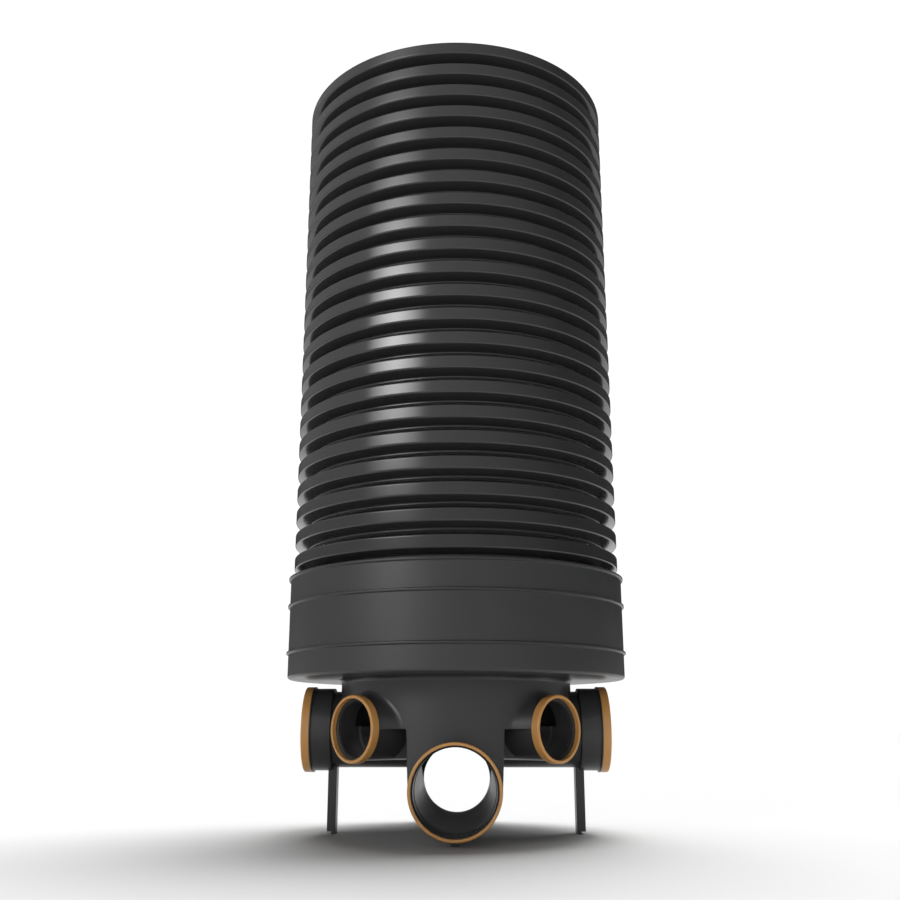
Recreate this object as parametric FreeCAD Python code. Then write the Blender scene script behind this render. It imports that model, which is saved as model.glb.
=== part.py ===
import FreeCAD, Part
import math
import os

Vector = FreeCAD.Vector

# Drain inspection chamber, millimetres, +Z up, ground at z = 0.
# The riser's axis is X = Y = 0. The main run lies along Y, its front end at -Y.
# Every heading of a socket is an angle from -Y, positive towards +X.

# Corrugated riser pipe
crest_radius = 250.0
groove_depth = 20.0
riser_wall = 3.4
corrugation_pitch = 36.3
crest_face_height = 17.5
upper_flank_height = 9.8
lower_flank_height = 6.4
crest_count = 26
riser_tail = 12.5

# Collar of the base, which is the riser's socket
collar_clearance = 0.5
collar_wall = 3.8
collar_underside_z = 219.5
collar_floor_thickness = 5.0
collar_height = 150.3
collar_edge_round = 4.0
bead_proud = 3.0
bead_height = 5.0
bead_crown_height = 2.4
bead_heights_above_underside = (37.8, 107.1)

# Neck and lower chamber under the collar
neck_radius = 173.0
neck_wall = 4.0
lower_chamber_radius = 140.0
lower_chamber_z = 109.0
chamber_floor_thickness = 5.0
branch_axis_z = 148.0
shelf_thickness = 4.0
neck_root_round = 6.0
lower_edge_round = 3.0

# Main channel and its housing
channel_axis_z = 70.0
channel_bore_radius = 54.5
housing_bottom_radius = 64.0
housing_top_half_width = 67.5
housing_cavity_top_half_width = 62.5
housing_corner_round = 3.0

# Sockets for 110 mm pipes
large_bore_radius = 55.3
large_sleeve_radius = 59.5
large_stub_radius = 60.2
large_groove_radius = 58.2
large_cap_radius = 61.8
large_cap_opening = 57.5
large_bead_radius = 62.0
large_pipe_radius = 55.0
large_pipe_bore = 50.5
main_socket_depth = 48.0
side_socket_depth = 38.2
main_reach = 47.0
side_reach = 52.7
side_sleeve_length = 42.7

# Sockets for 75 mm pipes
small_bore_radius = 37.8
small_sleeve_radius = 42.0
small_stub_radius = 43.9
small_groove_radius = 41.8
small_cap_radius = 46.0
small_cap_opening = 41.4
small_pipe_bore = 34.0
small_socket_depth = 46.0
branch_reach = 30.0
branch_angle = 45.0
flare_extra_width = 20.0
flare_extra_height = 4.0
flare_inside_neck = 15.0
flare_outside_neck = 15.0
flare_root_round = 10.0

# Retaining caps and rubber seals
cap_length = 12.0
cap_flange = 3.0
cap_clearance = 0.15
cap_chamfer = 1.2
seal_length = 8.0
seal_lip_clearance = 0.15
seal_lip_length = 3.0
seal_lip_tip = 1.0
seal_body = 1.6
bead_behind_cap = 1.8
riser_seal_clearance = 0.15
riser_seal_side_gap = 0.8
riser_seal_shoulder = 6.0
riser_seal_tread = 5.0
riser_seal_crest = 2

# Legs and the nubs under the main run
leg_behind_mouth = 49.2
leg_width = 12.5
leg_depth = 26.0
leg_sink = 3.0
leg_heel_height = 3.8
nub_width = 10.0
nub_length = 14.0
nub_behind_mouth = 44.0

# Values worked out from the ones above
collar_bore_radius = crest_radius + collar_clearance
collar_radius = collar_bore_radius + collar_wall
collar_floor_z = collar_underside_z + collar_floor_thickness
collar_top_z = collar_underside_z + collar_height
neck_bore_radius = neck_radius - neck_wall
valley_radius = crest_radius - groove_depth
first_crest_z = collar_floor_z + riser_tail
main_mouth = neck_radius + main_reach
side_mouth = neck_radius + side_reach
branch_mouth = neck_radius + branch_reach
leg_inner_x = side_mouth - leg_behind_mouth
nub_y = main_mouth - nub_behind_mouth

# How far a cut runs past the face that it opens, and how near counts as the same place
overlap = 1.0
same_place = 0.01


def corner_bend(before, corner, after, radius):
    """Start, middle and end of the arc that rounds a corner, or the corner as it is."""
    if not radius:
        return corner, None, corner
    back = (before - corner).normalize()
    ahead = (after - corner).normalize()
    half = back.getAngle(ahead) / 2
    cut = radius / math.tan(half)
    bisector = (back + ahead).normalize()
    middle = corner + bisector * (radius / math.sin(half) - radius)
    return corner + back * cut, middle, corner + ahead * cut


def revolved(points, bends=()):
    """Solid of revolution about Z from a closed outline of (radius, z) corners.

    bends lists corners by number with a rounding radius, as (corner, radius).
    """
    rounding = dict(bends)
    corners = [Vector(r, 0, z) for r, z in points]
    turns = []
    for i, corner in enumerate(corners):
        after = corners[(i + 1) % len(corners)]
        turns.append(corner_bend(corners[i - 1], corner, after, rounding.get(i)))
    edges = []
    for i, (arrive, middle, leave) in enumerate(turns):
        edges.append(Part.LineSegment(turns[i - 1][2], arrive).toShape())
        if middle is not None:
            edges.append(Part.Arc(arrive, middle, leave).toShape())
    face = Part.Face(Part.Wire(edges))
    return face.revolve(Vector(0, 0, 0), Vector(0, 0, 1), 360)


def cylinder(radius, z0, z1):
    return Part.makeCylinder(radius, z1 - z0, Vector(0, 0, z0))


def placed(shape, heading, axis_z):
    """A shape made along +Z, laid down to point outwards at a heading and a height."""
    laid = shape.copy()
    laid.rotate(Vector(0, 0, 0), Vector(1, 0, 0), 90)
    laid.rotate(Vector(0, 0, 0), Vector(0, 0, 1), heading)
    laid.translate(Vector(0, 0, axis_z))
    return laid


def block_above(z):
    """A block wider than the base, with its underside at z."""
    width = 4 * collar_radius
    return Part.makeBox(width, width, width, Vector(-width / 2, -width / 2, z))


def riser_pipe():
    """One wall of even thickness that steps in and out, crest by crest."""
    inner_crest = crest_radius - riser_wall
    inner_valley = valley_radius - riser_wall
    lower_shift = flank_shift(lower_flank_height)
    upper_shift = flank_shift(upper_flank_height)
    outer = [(valley_radius, collar_floor_z)]
    inner = [(inner_valley, collar_floor_z)]
    for k in range(crest_count):
        foot = first_crest_z + k * corrugation_pitch
        head = foot + crest_face_height
        outer.append((valley_radius, foot - lower_flank_height))
        outer.append((crest_radius, foot))
        outer.append((crest_radius, head))
        inner.append((inner_valley, foot - lower_flank_height + lower_shift))
        inner.append((inner_crest, foot + lower_shift))
        if k == crest_count - 1:
            inner.append((inner_crest, head))
        else:
            outer.append((valley_radius, head + upper_flank_height))
            inner.append((inner_crest, head - upper_shift))
            inner.append((inner_valley, head + upper_flank_height - upper_shift))
    return revolved(outer + inner[::-1])


def flank_shift(flank_height):
    """How far a flank's inner corner moves along Z to keep the wall's thickness."""
    slope = math.atan2(groove_depth, flank_height)
    return riser_wall * math.tan(slope / 2)


def riser_seal():
    """Rubber ring in a groove of the riser, inside the collar."""
    crest_head = first_crest_z + (riser_seal_crest - 1) * corrugation_pitch + crest_face_height
    next_foot = first_crest_z + riser_seal_crest * corrugation_pitch
    inner = valley_radius + riser_seal_clearance
    outer = collar_bore_radius - riser_seal_clearance
    shoulder = crest_radius - riser_seal_shoulder
    part_way = (shoulder - valley_radius) / groove_depth
    low_inner = crest_head + upper_flank_height + riser_seal_clearance
    high_inner = next_foot - lower_flank_height - riser_seal_clearance
    low_shoulder = crest_head + upper_flank_height * (1 - part_way) + riser_seal_side_gap
    high_shoulder = next_foot - lower_flank_height * (1 - part_way) - riser_seal_side_gap
    middle = (low_shoulder + high_shoulder) / 2
    return revolved([
        (inner, low_inner),
        (shoulder, low_shoulder),
        (outer, middle - riser_seal_tread / 2),
        (outer, middle + riser_seal_tread / 2),
        (shoulder, high_shoulder),
        (inner, high_inner),
    ])


def collar():
    """Cup that holds the riser, with two beads and a rolled rim."""
    top_bead = collar_height - bead_height
    beads = [h - bead_height / 2 for h in bead_heights_above_underside] + [top_bead]
    outline = [(neck_bore_radius, collar_underside_z), (collar_radius, collar_underside_z)]
    bead_radius = collar_radius + bead_proud
    flat = (bead_height - bead_crown_height) / 2
    for low in beads:
        z = collar_underside_z + low
        outline.append((collar_radius, z))
        outline.append((bead_radius, z + flat))
        outline.append((bead_radius, z + flat + bead_crown_height))
        outline.append((collar_radius, z + bead_height))
    outline.append((collar_bore_radius, collar_top_z))
    outline.append((collar_bore_radius, collar_floor_z))
    outline.append((neck_bore_radius, collar_floor_z))
    return revolved(outline, [(1, collar_edge_round)])


def housing(bottom_radius, top_half_width, top_z):
    """Channel section: a round invert whose sides lean out up to the neck."""
    lean = math.atan2(top_half_width - bottom_radius, top_z - channel_axis_z)
    edge_x = bottom_radius * math.cos(lean)
    edge_z = channel_axis_z - bottom_radius * math.sin(lean)
    low = Vector(0, 0, channel_axis_z - bottom_radius)
    left = Vector(-edge_x, 0, edge_z)
    right = Vector(edge_x, 0, edge_z)
    top_left = Vector(-top_half_width, 0, top_z)
    top_right = Vector(top_half_width, 0, top_z)
    edges = [
        Part.Arc(left, low, right).toShape(),
        Part.LineSegment(right, top_right).toShape(),
        Part.LineSegment(top_right, top_left).toShape(),
        Part.LineSegment(top_left, left).toShape(),
    ]
    face = Part.Face(Part.Wire(edges))
    face.translate(Vector(0, -neck_radius, 0))
    return face.extrude(Vector(0, 2 * neck_radius, 0))


def socket_outside(mouth, start, sleeve_radius, stub_radius, bead_radius=None):
    """Sleeve, shoulder behind the cap and the stub that the cap covers, along +Z."""
    cap_back = mouth - cap_length
    stub_end = mouth - cap_flange
    outline = [(0, start), (sleeve_radius, start)]
    if bead_radius:
        outline.append((sleeve_radius, cap_back - bead_behind_cap))
        outline.append((bead_radius, cap_back - bead_behind_cap))
        outline.append((bead_radius, cap_back))
    else:
        outline.append((sleeve_radius, cap_back - (stub_radius - sleeve_radius)))
    outline.append((stub_radius, cap_back))
    outline.append((stub_radius, stub_end))
    outline.append((0, stub_end))
    return revolved(outline)


def socket_inside(mouth, depth, bore_radius, groove_radius):
    """Space for the pipe's end and the seal's groove at the mouth, along +Z."""
    groove_back = mouth - cap_flange - seal_length
    stub_end = mouth - cap_flange + overlap
    return revolved([
        (0, mouth - depth),
        (bore_radius, mouth - depth),
        (bore_radius, groove_back),
        (groove_radius, groove_back),
        (groove_radius, stub_end),
        (0, stub_end),
    ])


def socket_cap(mouth, stub_radius, cap_radius, opening):
    """Retaining cap: a short sleeve over the stub with a flange that traps the seal."""
    cap_back = mouth - cap_length
    inner = stub_radius + cap_clearance
    return revolved([
        (inner, cap_back),
        (cap_radius, cap_back),
        (cap_radius, mouth - cap_chamfer),
        (cap_radius - cap_chamfer, mouth),
        (opening, mouth),
        (opening, mouth - cap_flange),
        (inner, mouth - cap_flange),
    ])


def socket_seal(mouth, bore_radius, groove_radius):
    """Seal ring: a flat body in the groove and one lip that leans into the bore."""
    front = mouth - cap_flange
    back = front - seal_length
    lip = bore_radius + seal_lip_clearance
    body = groove_radius - seal_body
    return revolved([
        (groove_radius, back),
        (groove_radius, front),
        (body, front),
        (lip, front - seal_lip_length),
        (lip, front - seal_lip_length - seal_lip_tip),
        (body, back),
    ])


LARGE = {
    "bore": large_bore_radius,
    "sleeve": large_sleeve_radius,
    "stub": large_stub_radius,
    "groove": large_groove_radius,
    "cap": large_cap_radius,
    "opening": large_cap_opening,
    "bead": large_bead_radius,
}
SMALL = {
    "bore": small_bore_radius,
    "sleeve": small_sleeve_radius,
    "stub": small_stub_radius,
    "groove": small_groove_radius,
    "cap": small_cap_radius,
    "opening": small_cap_opening,
    "bead": None,
}
side_sleeve_start = side_mouth - side_sleeve_length
# name, heading, axis height, mouth distance, start of the sleeve, depth, sizes
SOCKETS = [
    ("inlet", 0, channel_axis_z, main_mouth, 0, main_socket_depth, LARGE),
    ("outlet", 180, channel_axis_z, main_mouth, 0, main_socket_depth, LARGE),
    ("left_inlet", -90, branch_axis_z, side_mouth, side_sleeve_start, side_socket_depth, LARGE),
    ("right_inlet", 90, branch_axis_z, side_mouth, side_sleeve_start, side_socket_depth, LARGE),
    ("left_branch", -branch_angle, branch_axis_z, branch_mouth, 0, small_socket_depth, SMALL),
    ("right_branch", branch_angle, branch_axis_z, branch_mouth, 0, small_socket_depth, SMALL),
]


def branch_flare(heading):
    """Web that widens a branch sideways where it runs into the neck, above its axis."""
    outer_end = Vector(0, 0, neck_radius + flare_outside_neck)
    inner_end = Vector(0, 0, neck_radius - flare_inside_neck)
    circle = Part.Circle(outer_end, Vector(0, 0, 1), small_sleeve_radius)
    half_width = small_sleeve_radius + flare_extra_width
    half_height = small_sleeve_radius + flare_extra_height
    ellipse = Part.Ellipse(inner_end, half_width, half_height)
    loft = Part.makeLoft([Part.Wire(ellipse.toShape()), Part.Wire(circle.toShape())], True)
    return placed(loft, heading, branch_axis_z).common(block_above(branch_axis_z))


def lies_on_neck(edge):
    """True for an edge whose points all lie on the neck's outer wall."""
    steps = [edge.FirstParameter + (edge.LastParameter - edge.FirstParameter) * k / 4 for k in range(5)]
    places = [edge.valueAt(step) for step in steps]
    return all(abs(math.hypot(p.x, p.y) - neck_radius) < same_place for p in places)


def middle_of(edge):
    return edge.valueAt((edge.FirstParameter + edge.LastParameter) / 2)


def flare_roots(shape):
    """Edges where the two branch webs run into the neck."""
    found = []
    for edge in shape.Edges:
        middle = middle_of(edge)
        off_centre = min(abs(middle.x), -middle.y) > neck_radius / 2
        if lies_on_neck(edge) and edge.BoundBox.ZLength > flare_root_round and off_centre:
            found.append(edge)
    return found


def housing_outside():
    """The channel's housing, its ends following the neck and their corners rounded."""
    trough = housing(housing_bottom_radius, housing_top_half_width, branch_axis_z)
    trough = trough.common(cylinder(neck_radius, 0, branch_axis_z)).removeSplitter()
    ends = [e for e in trough.Edges if lies_on_neck(e) and e.BoundBox.ZLength > housing_bottom_radius / 2]
    corners = [e for e in ends if abs(middle_of(e).x) > housing_corner_round]
    return trough.makeFillet(housing_corner_round, corners)


def neck_outside():
    """The neck with its two branches, whose webs run into it in a round."""
    solids = []
    for name, heading, axis_z, mouth, start, depth, size in SOCKETS:
        if size is SMALL:
            outside = socket_outside(mouth, start, size["sleeve"], size["stub"], size["bead"])
            solids.append(placed(outside, heading, axis_z))
            solids.append(branch_flare(heading))
    neck = cylinder(neck_radius, branch_axis_z, collar_underside_z).fuse(solids).removeSplitter()
    return neck.makeFillet(flare_root_round, flare_roots(neck))


def neck_root(shape):
    """The circle where the neck meets the collar's underside."""
    return [e for e in shape.Edges if lies_on_neck(e) and e.BoundBox.ZMin > collar_underside_z - same_place]


def base_outside():
    """Outer form of the moulded base as one solid, with its corners rounded."""
    disc = cylinder(collar_bore_radius, collar_underside_z, collar_floor_z)
    lower = revolved([
        (0, lower_chamber_z),
        (lower_chamber_radius, lower_chamber_z),
        (lower_chamber_radius, branch_axis_z),
        (0, branch_axis_z),
    ], [(1, lower_edge_round)])
    solids = [neck_outside(), disc, lower, housing_outside()]
    for name, heading, axis_z, mouth, start, depth, size in SOCKETS:
        if size is LARGE:
            outside = socket_outside(mouth, start, size["sleeve"], size["stub"], size["bead"])
            solids.append(placed(outside, heading, axis_z))
    for heading in (-90, 90):
        pipe = cylinder(large_pipe_radius, 0, side_sleeve_start + overlap)
        solids.append(placed(pipe, heading, branch_axis_z))
    body = collar().fuse(solids).removeSplitter()
    body = body.makeFillet(neck_root_round, neck_root(body))
    return body.fuse([leg(-1), leg(1), nub(-1), nub(1)])


def base_inside():
    """Everything that is hollow in the base: channels, chamber, neck and sockets."""
    hollows = []
    for name, heading, axis_z, mouth, start, depth, size in SOCKETS:
        inside = socket_inside(mouth, depth, size["bore"], size["groove"])
        hollows.append(placed(inside, heading, axis_z))
    for heading in (-90, 90):
        pipe = cylinder(large_pipe_bore, 0, side_mouth - side_socket_depth + overlap)
        hollows.append(placed(pipe, heading, branch_axis_z))
    for heading in (-branch_angle, branch_angle):
        pipe = cylinder(small_pipe_bore, 0, branch_mouth - small_socket_depth + overlap)
        hollows.append(placed(pipe, heading, branch_axis_z))
    channel = housing(channel_bore_radius, housing_cavity_top_half_width, branch_axis_z)
    hollows.append(channel.common(cylinder(neck_bore_radius, 0, branch_axis_z)))
    run = cylinder(channel_bore_radius, -main_mouth, main_mouth)
    hollows.append(placed(run, 0, channel_axis_z))
    chamber_floor_z = lower_chamber_z + chamber_floor_thickness
    shelf_z = branch_axis_z + shelf_thickness
    hollows.append(cylinder(lower_chamber_radius - neck_wall, chamber_floor_z, shelf_z + overlap))
    hollows.append(cylinder(neck_bore_radius, shelf_z, collar_floor_z + overlap))
    return hollows


def base_body():
    """The moulded base: collar, neck, lower chamber, channel and its six sockets."""
    return base_outside().cut(base_inside()).removeSplitter()


def leg(side):
    """Narrow leg from the pipe's underside to the ground, its outer half a little short."""
    top_z = branch_axis_z - large_pipe_radius + leg_sink
    inner = Part.makeBox(leg_width / 2, leg_depth, top_z, Vector(leg_inner_x, -leg_depth / 2, 0))
    outer = Part.makeBox(
        leg_width / 2, leg_depth, top_z - leg_heel_height,
        Vector(leg_inner_x + leg_width / 2, -leg_depth / 2, leg_heel_height))
    both = inner.fuse(outer)
    if side < 0:
        both.rotate(Vector(0, 0, 0), Vector(0, 0, 1), 180)
    return both


def nub(side):
    """Small foot under an end of the main run."""
    top_z = channel_axis_z - large_sleeve_radius + leg_sink
    corner = Vector(-nub_width / 2, side * nub_y - nub_length / 2, 0)
    return Part.makeBox(nub_width, nub_length, top_z, corner)


def save(name, shape):
    solid = shape.Solids[0]
    assert len(shape.Solids) == 1, name + " has " + str(len(shape.Solids)) + " solids"
    assert solid.isValid(), name + " is not valid"
    solid.exportStep("parts/" + name + ".step")
    print(name, round(solid.Volume / 1000, 1), "cm3", len(solid.Faces), "faces")


os.makedirs("parts", exist_ok=True)
save("riser_pipe", riser_pipe())
save("riser_seal", riser_seal())
save("base_body", base_body())
for name, heading, axis_z, mouth, start, depth, size in SOCKETS:
    cap = socket_cap(mouth, size["stub"], size["cap"], size["opening"])
    save(name + "_cap", placed(cap, heading, axis_z))
    seal = socket_seal(mouth, size["bore"], size["groove"])
    save(name + "_seal", placed(seal, heading, axis_z))
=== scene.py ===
import math

import bpy
from mathutils import Matrix, Vector


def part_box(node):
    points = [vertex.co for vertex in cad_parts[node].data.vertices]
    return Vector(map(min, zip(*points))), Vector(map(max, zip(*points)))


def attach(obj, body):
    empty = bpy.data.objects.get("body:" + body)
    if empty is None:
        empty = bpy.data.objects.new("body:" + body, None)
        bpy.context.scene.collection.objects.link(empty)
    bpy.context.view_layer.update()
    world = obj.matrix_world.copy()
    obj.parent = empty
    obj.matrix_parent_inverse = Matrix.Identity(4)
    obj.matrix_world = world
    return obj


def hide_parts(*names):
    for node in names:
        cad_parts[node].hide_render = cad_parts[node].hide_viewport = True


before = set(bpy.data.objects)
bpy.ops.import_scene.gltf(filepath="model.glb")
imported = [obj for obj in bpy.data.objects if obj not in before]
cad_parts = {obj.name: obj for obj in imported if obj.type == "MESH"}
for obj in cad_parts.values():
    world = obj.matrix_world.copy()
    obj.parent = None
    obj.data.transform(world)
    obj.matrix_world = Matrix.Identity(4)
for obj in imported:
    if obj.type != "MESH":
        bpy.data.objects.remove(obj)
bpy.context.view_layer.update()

# Viewpoint: low, close and tilted up, in line with the main run, so that the riser
# narrows towards its top and the sockets show their mouths.
EYE = (0.0106, -1.610, 0.1478)
TILT_UP = 15.15
TURN = 0.70
SENSOR = 36.0
FRAME_PIXELS = 900
FOCAL_PIXELS = 1031.5
FARTHEST_SEEN = 60.0

camera_data = bpy.data.cameras.new("viewpoint")
camera_data.sensor_fit = "HORIZONTAL"
camera_data.sensor_width = SENSOR
camera_data.lens = SENSOR * FOCAL_PIXELS / FRAME_PIXELS
camera_data.clip_end = FARTHEST_SEEN
camera = bpy.data.objects.new("viewpoint", camera_data)
camera.location = EYE
camera.rotation_euler = (math.radians(90 + TILT_UP), 0, math.radians(TURN))
bpy.context.scene.collection.objects.link(camera)
bpy.context.scene.camera = camera
bpy.context.scene.view_settings.view_transform = "Standard"


# Riser: one single-wall pipe, blown into rings of flat crests and rounded valleys from
# black polypropylene, cut square at the top. It is pushed into the collar of the base.
CREST_R = 0.250
VALLEY_R = 0.230
RISER_WALL = 0.0034
PITCH = 0.0363
CREST_FACE = 0.0175
UPPER_FLANK = 0.0098
LOWER_FLANK = 0.0064
CRESTS = 26
RISER_TAIL = 0.0125
RISER_SEGMENTS = 160
# the rounding of a corner, and the steps that it is made in
SHARP = (0, 0)
CREST_CORNER = (0.0030, 4)
VALLEY_CORNER = (0.0012, 2)
INNER_VALLEY_CORNER = (0.002, 1)
RISER_FOOT_EDGE = (0.0005, 1)
RISER_TOP_OUTER_EDGE = (0.0006, 4)
RISER_TOP_INNER_EDGE = (0.0006, 1)
# a moulded skin: the scale of its slow drift, what drift and grain add to the roughness,
# and how strongly the grain shows
DRIFT_SCALE = 7.0
DRIFT_DETAIL = 3.0
GRAIN_DETAIL = 2.0
DRIFT_IN_GLOSS = 0.10
GRAIN_IN_GLOSS = 0.06
GRAIN_STRENGTH = 0.25
SOFT_EDGE_SAMPLES = 6


class Wire:
    """A shader socket. Arithmetic on it adds Math nodes."""

    def __init__(self, tree, socket):
        self.tree = tree
        self.socket = socket

    def node(self, kind, settings, sockets):
        """Adds a node: its settings first, then the values or links of its sockets."""
        made = self.tree.nodes.new(kind)
        for name, value in settings.items():
            setattr(made, name, value)
        for name, value in sockets.items():
            if isinstance(value, Wire):
                value.feeds(made, name)
            else:
                made.inputs[name].default_value = value
        return made

    def out(self, made, name=0):
        """A wire from one of a node's outputs."""
        return Wire(self.tree, made.outputs[name])

    def feeds(self, made, name):
        """Links this wire to one of a node's inputs."""
        self.tree.links.new(self.socket, made.inputs[name])

    def maths(self, operation, other=0.0, reflected=False):
        """A Math node on this wire and another value, which comes first if reflected."""
        first, second = (other, self) if reflected else (self, other)
        made = self.node("ShaderNodeMath", {"operation": operation}, {0: first, 1: second})
        return self.out(made)

    def __neg__(self):
        return 0.0 - self

    def __add__(self, other):
        return self.maths("ADD", other)

    def __radd__(self, other):
        return self.maths("ADD", other, reflected=True)

    def __sub__(self, other):
        return self.maths("SUBTRACT", other)

    def __rsub__(self, other):
        return self.maths("SUBTRACT", other, reflected=True)

    def __mul__(self, other):
        return self.maths("MULTIPLY", other)

    def __rmul__(self, other):
        return self.maths("MULTIPLY", other, reflected=True)

    def __pow__(self, other):
        return self.maths("POWER", other)

    def __rpow__(self, other):
        return self.maths("POWER", other, reflected=True)


def new_material(name):
    """A material with its surface node and a wire of the point in the object's frame."""
    material = bpy.data.materials.new(name)
    material.use_nodes = True
    tree = material.node_tree
    surface = tree.nodes["Principled BSDF"]
    place = Wire(tree, tree.nodes.new("ShaderNodeTexCoord").outputs["Object"])
    return material, surface, place


def noise(place, scale, detail):
    """Cloudy noise from 0 to 1, fixed in the object's own frame."""
    sockets = {"Vector": place, "Scale": scale, "Detail": detail}
    return place.out(place.node("ShaderNodeTexNoise", {}, sockets), "Fac")


def moulded_plastic(name, dark, light, roughness, grain_size, grain_height,
                    reflectance=0.5, edge_round=0):
    """Satin moulded plastic: a slow drift of tone and gloss, a fine grain, soft edges."""
    material, surface, place = new_material(name)
    drift = noise(place, DRIFT_SCALE, DRIFT_DETAIL)
    grain = noise(place, 1.0 / grain_size, GRAIN_DETAIL)
    tones = {0: drift, 6: (*dark, 1), 7: (*light, 1)}
    tone = place.out(place.node("ShaderNodeMix", {"data_type": "RGBA"}, tones), 2)
    tone.feeds(surface, "Base Color")
    gloss = roughness + (drift - 0.5) * DRIFT_IN_GLOSS + (grain - 0.5) * GRAIN_IN_GLOSS
    gloss.feeds(surface, "Roughness")
    surface.inputs["Specular IOR Level"].default_value = reflectance
    relief = {"Height": grain, "Strength": GRAIN_STRENGTH, "Distance": grain_height}
    bump = place.node("ShaderNodeBump", {}, relief)
    if edge_round:
        softening = {"samples": SOFT_EDGE_SAMPLES}
        soft_edge = place.out(place.node("ShaderNodeBevel", softening, {"Radius": edge_round}))
        soft_edge.feeds(bump, "Normal")
    place.out(bump).feeds(surface, "Normal")
    return material


def rounded(corners):
    """Corners of (radius, z, rounding, steps) turned into points, each with the normals of
    the side that ends there and of the side that starts there."""
    points = []
    count = len(corners)
    for i, (r, z, rounding, steps) in enumerate(corners):
        here = Vector((r, z))
        back = (Vector(corners[i - 1][:2]) - here).normalized()
        ahead = (Vector(corners[(i + 1) % count][:2]) - here).normalized()
        normal_before = Vector((-back.y, back.x))
        normal_after = Vector((ahead.y, -ahead.x))
        if rounding <= 0:
            points.append((here, normal_before, normal_after))
            continue
        half = back.angle(ahead) / 2
        cut = rounding / math.tan(half)
        start = here + back * cut
        end = here + ahead * cut
        centre = here + (back + ahead).normalized() * (rounding / math.sin(half))
        start_angle = math.atan2(start.y - centre.y, start.x - centre.x)
        end_angle = math.atan2(end.y - centre.y, end.x - centre.x)
        turn = (end_angle - start_angle + math.pi) % (2 * math.pi) - math.pi
        for step in range(steps + 1):
            angle = start_angle + turn * step / steps
            spoke = Vector((math.cos(angle), math.sin(angle)))
            normal = normal_before.lerp(normal_after, step / steps).normalized()
            points.append((centre + spoke * rounding, normal, normal))
    return points


def turned(name, corners, segments, laid=None):
    """A ring or pipe turned about its axis from a closed outline, with true normals."""
    outline = rounded(corners)
    count = len(outline)
    spokes = []
    for spoke in range(segments):
        angle = 2 * math.pi * spoke / segments
        spokes.append((math.cos(angle), math.sin(angle)))
    verts = [(point.x * c, point.x * s, point.y) for c, s in spokes for point, _, _ in outline]
    faces = []
    normals = []
    for here in range(segments):
        there = (here + 1) % segments
        for i in range(count):
            j = (i + 1) % count
            face = (here * count + i, there * count + i, there * count + j, here * count + j)
            faces.append(face)
            low, high = outline[i][2], outline[j][1]
            for spoke, normal in ((here, low), (there, low), (there, high), (here, high)):
                c, s = spokes[spoke]
                normals.append((normal.x * c, normal.x * s, normal.y))
    mesh = bpy.data.meshes.new(name)
    mesh.from_pydata(verts, [], faces)
    mesh.polygons.foreach_set("use_smooth", [True] * len(mesh.polygons))
    mesh.normals_split_custom_set(normals)
    if laid is not None:
        mesh.transform(laid)
    piece = bpy.data.objects.new(name, mesh)
    bpy.context.scene.collection.objects.link(piece)
    return piece


def riser_outline():
    """Corners of the riser's wall, outside from the bottom up and then inside back down."""
    low_shift = RISER_WALL * math.tan(math.atan2(CREST_R - VALLEY_R, LOWER_FLANK) / 2)
    high_shift = RISER_WALL * math.tan(math.atan2(CREST_R - VALLEY_R, UPPER_FLANK) / 2)
    inner_crest = CREST_R - RISER_WALL
    inner_valley = VALLEY_R - RISER_WALL
    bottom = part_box("riser_pipe")[0][2]
    outer = [(VALLEY_R, bottom, *RISER_FOOT_EDGE)]
    inner = [(inner_valley, bottom, *RISER_FOOT_EDGE)]
    for crest in range(CRESTS):
        foot = bottom + RISER_TAIL + crest * PITCH
        head = foot + CREST_FACE
        outer.append((VALLEY_R, foot - LOWER_FLANK, *VALLEY_CORNER))
        outer.append((CREST_R, foot, *CREST_CORNER))
        inner.append((inner_valley, foot - LOWER_FLANK + low_shift, *INNER_VALLEY_CORNER))
        inner.append((inner_crest, foot + low_shift, *SHARP))
        if crest == CRESTS - 1:
            outer.append((CREST_R, head, *RISER_TOP_OUTER_EDGE))
            inner.append((inner_crest, head, *RISER_TOP_INNER_EDGE))
        else:
            outer.append((CREST_R, head, *CREST_CORNER))
            outer.append((VALLEY_R, head + UPPER_FLANK, *VALLEY_CORNER))
            inner.append((inner_crest, head - high_shift, *SHARP))
            inner.append((inner_valley, head + UPPER_FLANK - high_shift, *INNER_VALLEY_CORNER))
    return outer + inner[::-1]


riser_black = moulded_plastic(
    "riser_black", dark=(0.022, 0.022, 0.023), light=(0.028, 0.028, 0.029),
    roughness=0.17, grain_size=0.0009, grain_height=0.00003)
riser = turned("riser", riser_outline(), RISER_SEGMENTS)
riser.data.materials.append(riser_black)
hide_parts("riser_pipe")
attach(riser, "root")


# Base: one moulding in the same black polypropylene, with the collar, the neck, the
# sockets, the legs and the feet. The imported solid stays, and its material softens the
# edges, as such a moulding has them.
base_black = moulded_plastic(
    "base_black", dark=(0.029, 0.029, 0.030), light=(0.036, 0.036, 0.037),
    roughness=0.36, grain_size=0.0011, grain_height=0.00006,
    reflectance=0.42, edge_round=0.0014)
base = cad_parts["base_body"]
base.data.materials.clear()
base.data.materials.append(base_black)


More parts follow.
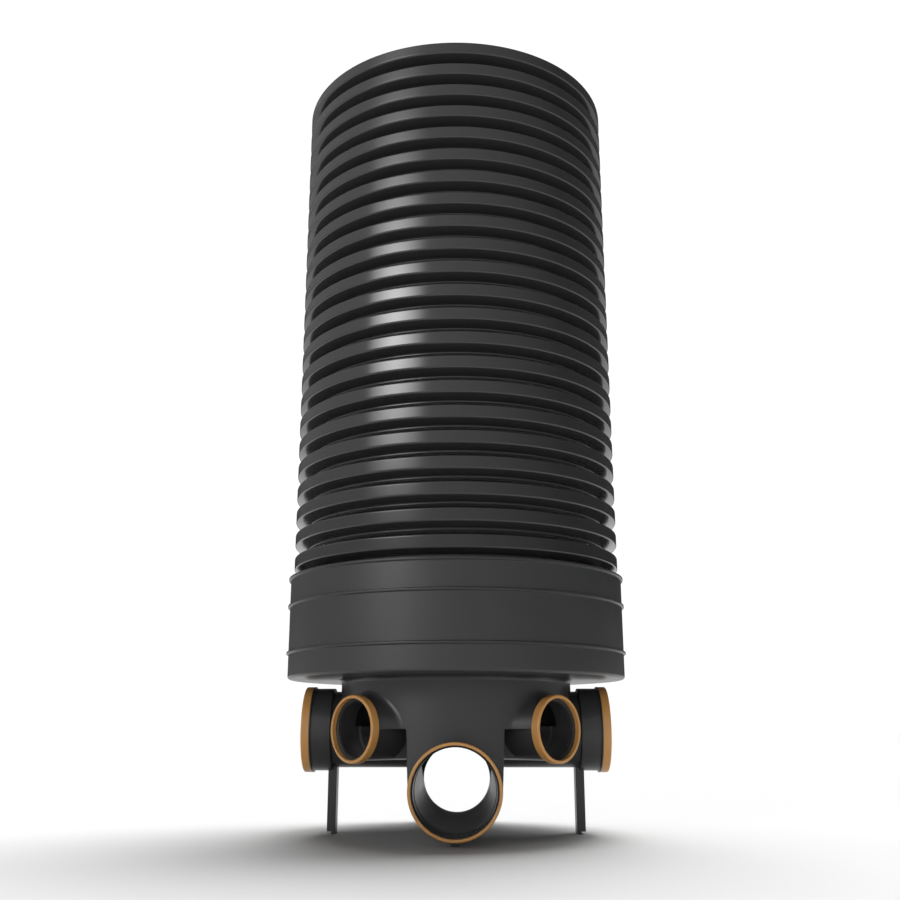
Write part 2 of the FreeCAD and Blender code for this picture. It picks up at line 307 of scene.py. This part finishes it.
# Retaining caps: snap-on rings of orange-brown polypropylene, one on each of the six
# sockets. A short skirt grips the stub, and a flange with a full round edge outside and
# a thin collar inside traps the seal.
CAP_LENGTH = 0.012
CAP_FLANGE = 0.003
CAP_INNER_COLLAR = 0.007
CAP_CLEARANCE = 0.00015
SKIRT_INNER_EDGE = (0.0004, 1)
SKIRT_OUTER_EDGE = (0.0005, 2)
CAP_FRONT_EDGE = (0.0022, 6)
CAP_OPENING_EDGE = (0.0009, 4)
COLLAR_EDGE = (0.0001, 1)
FLANGE_CORNER = (0.0003, 1)
RING_SEGMENTS = 128
LARGE = {"stub": 0.0602, "cap": 0.0618, "opening": 0.0575, "groove": 0.0582, "bore": 0.0553}
SMALL = {"stub": 0.0439, "cap": 0.0460, "opening": 0.0414, "groove": 0.0418, "bore": 0.0378}
MAIN_AXIS_Z = 0.070
BRANCH_AXIS_Z = 0.148
# name, heading in degrees from the front towards the right, height, mouth's distance, sizes
SOCKETS = [
    ("inlet", 0, MAIN_AXIS_Z, 0.2200, LARGE),
    ("outlet", 180, MAIN_AXIS_Z, 0.2200, LARGE),
    ("left_inlet", -90, BRANCH_AXIS_Z, 0.2257, LARGE),
    ("right_inlet", 90, BRANCH_AXIS_Z, 0.2257, LARGE),
    ("left_branch", -45, BRANCH_AXIS_Z, 0.2030, SMALL),
    ("right_branch", 45, BRANCH_AXIS_Z, 0.2030, SMALL),
]


def socket_turn(heading, axis_z):
    """Lays a piece turned about Z down, so that +Z points out of its socket."""
    lie_down = Matrix.Rotation(math.radians(90), 4, "X")
    turn = Matrix.Rotation(math.radians(heading), 4, "Z") @ lie_down
    return Matrix.Translation((0, 0, axis_z)) @ turn


def cap_outline(mouth, size):
    """Corners of a cap's section: the skirt's end, outside, front, opening, back inside."""
    skirt_inside = size["stub"] + CAP_CLEARANCE
    collar_outside = size["groove"] - CAP_CLEARANCE
    return [
        (skirt_inside, mouth - CAP_LENGTH, *SKIRT_INNER_EDGE),
        (size["cap"], mouth - CAP_LENGTH, *SKIRT_OUTER_EDGE),
        (size["cap"], mouth, *CAP_FRONT_EDGE),
        (size["opening"], mouth, *CAP_OPENING_EDGE),
        (size["opening"], mouth - CAP_INNER_COLLAR, *COLLAR_EDGE),
        (collar_outside, mouth - CAP_INNER_COLLAR, *COLLAR_EDGE),
        (collar_outside, mouth - CAP_FLANGE, *SHARP),
        (skirt_inside, mouth - CAP_FLANGE, *FLANGE_CORNER),
    ]


cap_orange = moulded_plastic(
    "cap_orange", dark=(0.48, 0.23, 0.062), light=(0.55, 0.275, 0.082),
    roughness=0.40, grain_size=0.0010, grain_height=0.00006)
for name, heading, axis_z, mouth, size in SOCKETS:
    outline = cap_outline(mouth, size)
    cap = turned(name + "_ring", outline, RING_SEGMENTS, socket_turn(heading, axis_z))
    cap.data.materials.append(cap_orange)
    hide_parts(name + "_cap")
    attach(cap, "root")


# Socket seals: black rubber rings in the grooves behind the caps, with a rounded lip that
# leans into the bore. The riser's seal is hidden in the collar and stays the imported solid.
SEAL_LENGTH = 0.004
SEAL_BODY = 0.0016
LIP_CLEARANCE = 0.00015
LIP_LENGTH = 0.002
LIP_TIP = 0.0008
SEAL_CORNER = (0.0003, 1)
SEAL_SHOULDER = (0.0003, 2)
LIP_EDGE = (0.0004, 3)


def seal_outline(mouth, size):
    """Corners of a seal's section: its back in the groove, its front, and then the lip."""
    front = mouth - CAP_INNER_COLLAR
    back = front - SEAL_LENGTH
    body = size["groove"] - SEAL_BODY
    lip = size["bore"] + LIP_CLEARANCE
    return [
        (size["groove"], back, *SEAL_CORNER),
        (size["groove"], front, *SEAL_CORNER),
        (body, front, *SEAL_SHOULDER),
        (lip, front - LIP_LENGTH, *LIP_EDGE),
        (lip, front - LIP_LENGTH - LIP_TIP, *LIP_EDGE),
        (body, back, *SEAL_CORNER),
    ]


seal_rubber = moulded_plastic(
    "seal_rubber", dark=(0.008, 0.008, 0.008), light=(0.013, 0.013, 0.013),
    roughness=0.6, grain_size=0.0008, grain_height=0.0001)
for name, heading, axis_z, mouth, size in SOCKETS:
    outline = seal_outline(mouth, size)
    seal = turned(name + "_lip_ring", outline, RING_SEGMENTS, socket_turn(heading, axis_z))
    seal.data.materials.append(seal_rubber)
    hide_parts(name + "_seal")
    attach(seal, "root")
riser_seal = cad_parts["riser_seal"]
riser_seal.data.materials.clear()
riser_seal.data.materials.append(seal_rubber)


# Floor: wide, plain and pale, and so matt that it mirrors next to nothing. The chamber
# stands on it.
FLOOR_HALF = 60.0
FLOOR_TONE = 0.632
FLOOR_ROUGHNESS = 0.75
FLOOR_REFLECTANCE = 0.2

corner_signs = ((-1, -1), (1, -1), (1, 1), (-1, 1))
floor_corners = [(x * FLOOR_HALF, y * FLOOR_HALF, 0) for x, y in corner_signs]
floor_mesh = bpy.data.meshes.new("floor")
floor_mesh.from_pydata(floor_corners, [], [(0, 1, 2, 3)])
floor = bpy.data.objects.new("floor", floor_mesh)
bpy.context.scene.collection.objects.link(floor)
floor_white, floor_surface, _ = new_material("floor_white")
floor_surface.inputs["Base Color"].default_value = (FLOOR_TONE, FLOOR_TONE, FLOOR_TONE, 1)
floor_surface.inputs["Roughness"].default_value = FLOOR_ROUGHNESS
floor_surface.inputs["Specular IOR Level"].default_value = FLOOR_REFLECTANCE
floor.data.materials.append(floor_white)


# Surroundings: plain white behind, a little light from all round and more from low at the
# front. The gloss mirrors a studio of its own: walls that are brightest at the front left,
# and one soft box there that shows on the riser as a strip.
BACKDROP = 1.05
FILL = 0.04
FRONT_FILL = 2.8
FRONT_FILL_TO_WEST = 0.3
WALL_MEAN = 0.28
WALL_TO_SOUTH = 0.34
WALL_TO_WEST = 0.30
WALL_LEAST = 0.05
WALL_FOOT = 0.62
WALL_RISE = 0.74
BOX_LEVEL = 4.4
BOX_DIM = 0.75
BOX_MIDDLE_LEVEL = 12.0
# heights above the floor, in degrees
FRONT_FILL_FADE = (5, 28)
WALL_FADE = (6, 18)
BOX_FOOT = (12.0, 17.0)
BOX_TOP = (35.0, 40.0)
BOX_DIM_FADE = (20.0, 37.0)
BOX_MIDDLE = 22.3
BOX_MIDDLE_SPREAD = 3.2
# bearings from the front towards the left, in degrees
BOX_FRONT_EDGE = (17.5, 28.0)
BOX_LEFT_EDGE = (62.0, 65.0)
BOX_PEAK = 42.98
BOX_PEAK_SPREAD = 11.355


def ramp(value, low, high):
    """Rises smoothly from 0 at low to 1 at high."""
    ends = {0: value, 1: math.radians(low), 2: math.radians(high)}
    return value.out(value.node("ShaderNodeMapRange", {"interpolation_type": "SMOOTHSTEP"}, ends))


def bell(value, middle, spread):
    """Peaks at 1 over middle and falls away to both sides."""
    off = (value - math.radians(middle)) * (1 / math.radians(spread))
    return math.e ** (off ** 2 * -0.5)


world = bpy.data.worlds.new("dome")
world.use_nodes = True
sky = world.node_tree
way = Wire(sky, sky.nodes.new("ShaderNodeTexCoord").outputs["Generated"])
split = way.node("ShaderNodeSeparateXYZ", {}, {"Vector": way})
east, north, up = (way.out(split, axis) for axis in range(3))
bearing = (-east).maths("ARCTAN2", -north)
height = up.maths("ARCSINE")

walls = (WALL_MEAN - north * WALL_TO_SOUTH - east * WALL_TO_WEST).maths("MAXIMUM", WALL_LEAST)
walls = walls * (WALL_FOOT + ramp(height, *WALL_FADE) * WALL_RISE)
across = ramp(bearing, *BOX_FRONT_EDGE) * (1 - ramp(bearing, *BOX_LEFT_EDGE))
across = across * bell(bearing, BOX_PEAK, BOX_PEAK_SPREAD)
along = ramp(height, *BOX_FOOT) * (1 - ramp(height, *BOX_TOP)) * BOX_LEVEL
along = along * (1 - ramp(height, *BOX_DIM_FADE) * BOX_DIM)
middle = bell(height, BOX_MIDDLE, BOX_MIDDLE_SPREAD) * BOX_MIDDLE_LEVEL
mirrored = walls + across * (along + middle)

front = (-north - east * FRONT_FILL_TO_WEST) * (1 - ramp(height, *FRONT_FILL_FADE))
soft = front.maths("MAXIMUM", 0.0) * FRONT_FILL + FILL

rays = way.node("ShaderNodeLightPath", {}, {})
level = mirrored * way.out(rays, "Is Glossy Ray") + soft * way.out(rays, "Is Diffuse Ray")
level = level + way.out(rays, "Is Camera Ray") * BACKDROP
level.feeds(sky.nodes["Background"], "Strength")
sky.nodes["Background"].inputs["Color"].default_value = (1, 1, 1, 1)
bpy.context.scene.world = world


# Lamps: four broad soft ones high up behind, strongest at the right. They throw the soft
# shadow on the floor and stay out of the gloss.
def lamp(name, elevation, azimuth, width, power):
    """A lamp far away: its place in the sky, from +X, and its width, all in degrees."""
    data = bpy.data.lights.new(name, "SUN")
    data.energy = power
    data.angle = math.radians(width)
    light = bpy.data.objects.new(name, data)
    light.visible_glossy = False
    rise, turn = math.radians(elevation), math.radians(azimuth)
    level_part = math.cos(rise)
    towards = Vector((level_part * math.cos(turn), level_part * math.sin(turn), math.sin(rise)))
    light.rotation_euler = (-towards).to_track_quat("-Z", "Y").to_euler()
    bpy.context.scene.collection.objects.link(light)


lamp("high_right_lamp", elevation=74, azimuth=50, width=24, power=2.3)
lamp("high_left_lamp", elevation=74, azimuth=130, width=24, power=0.9)
lamp("back_lamp", elevation=60, azimuth=90, width=30, power=1.45)
lamp("back_right_lamp", elevation=50, azimuth=40, width=30, power=0.75)
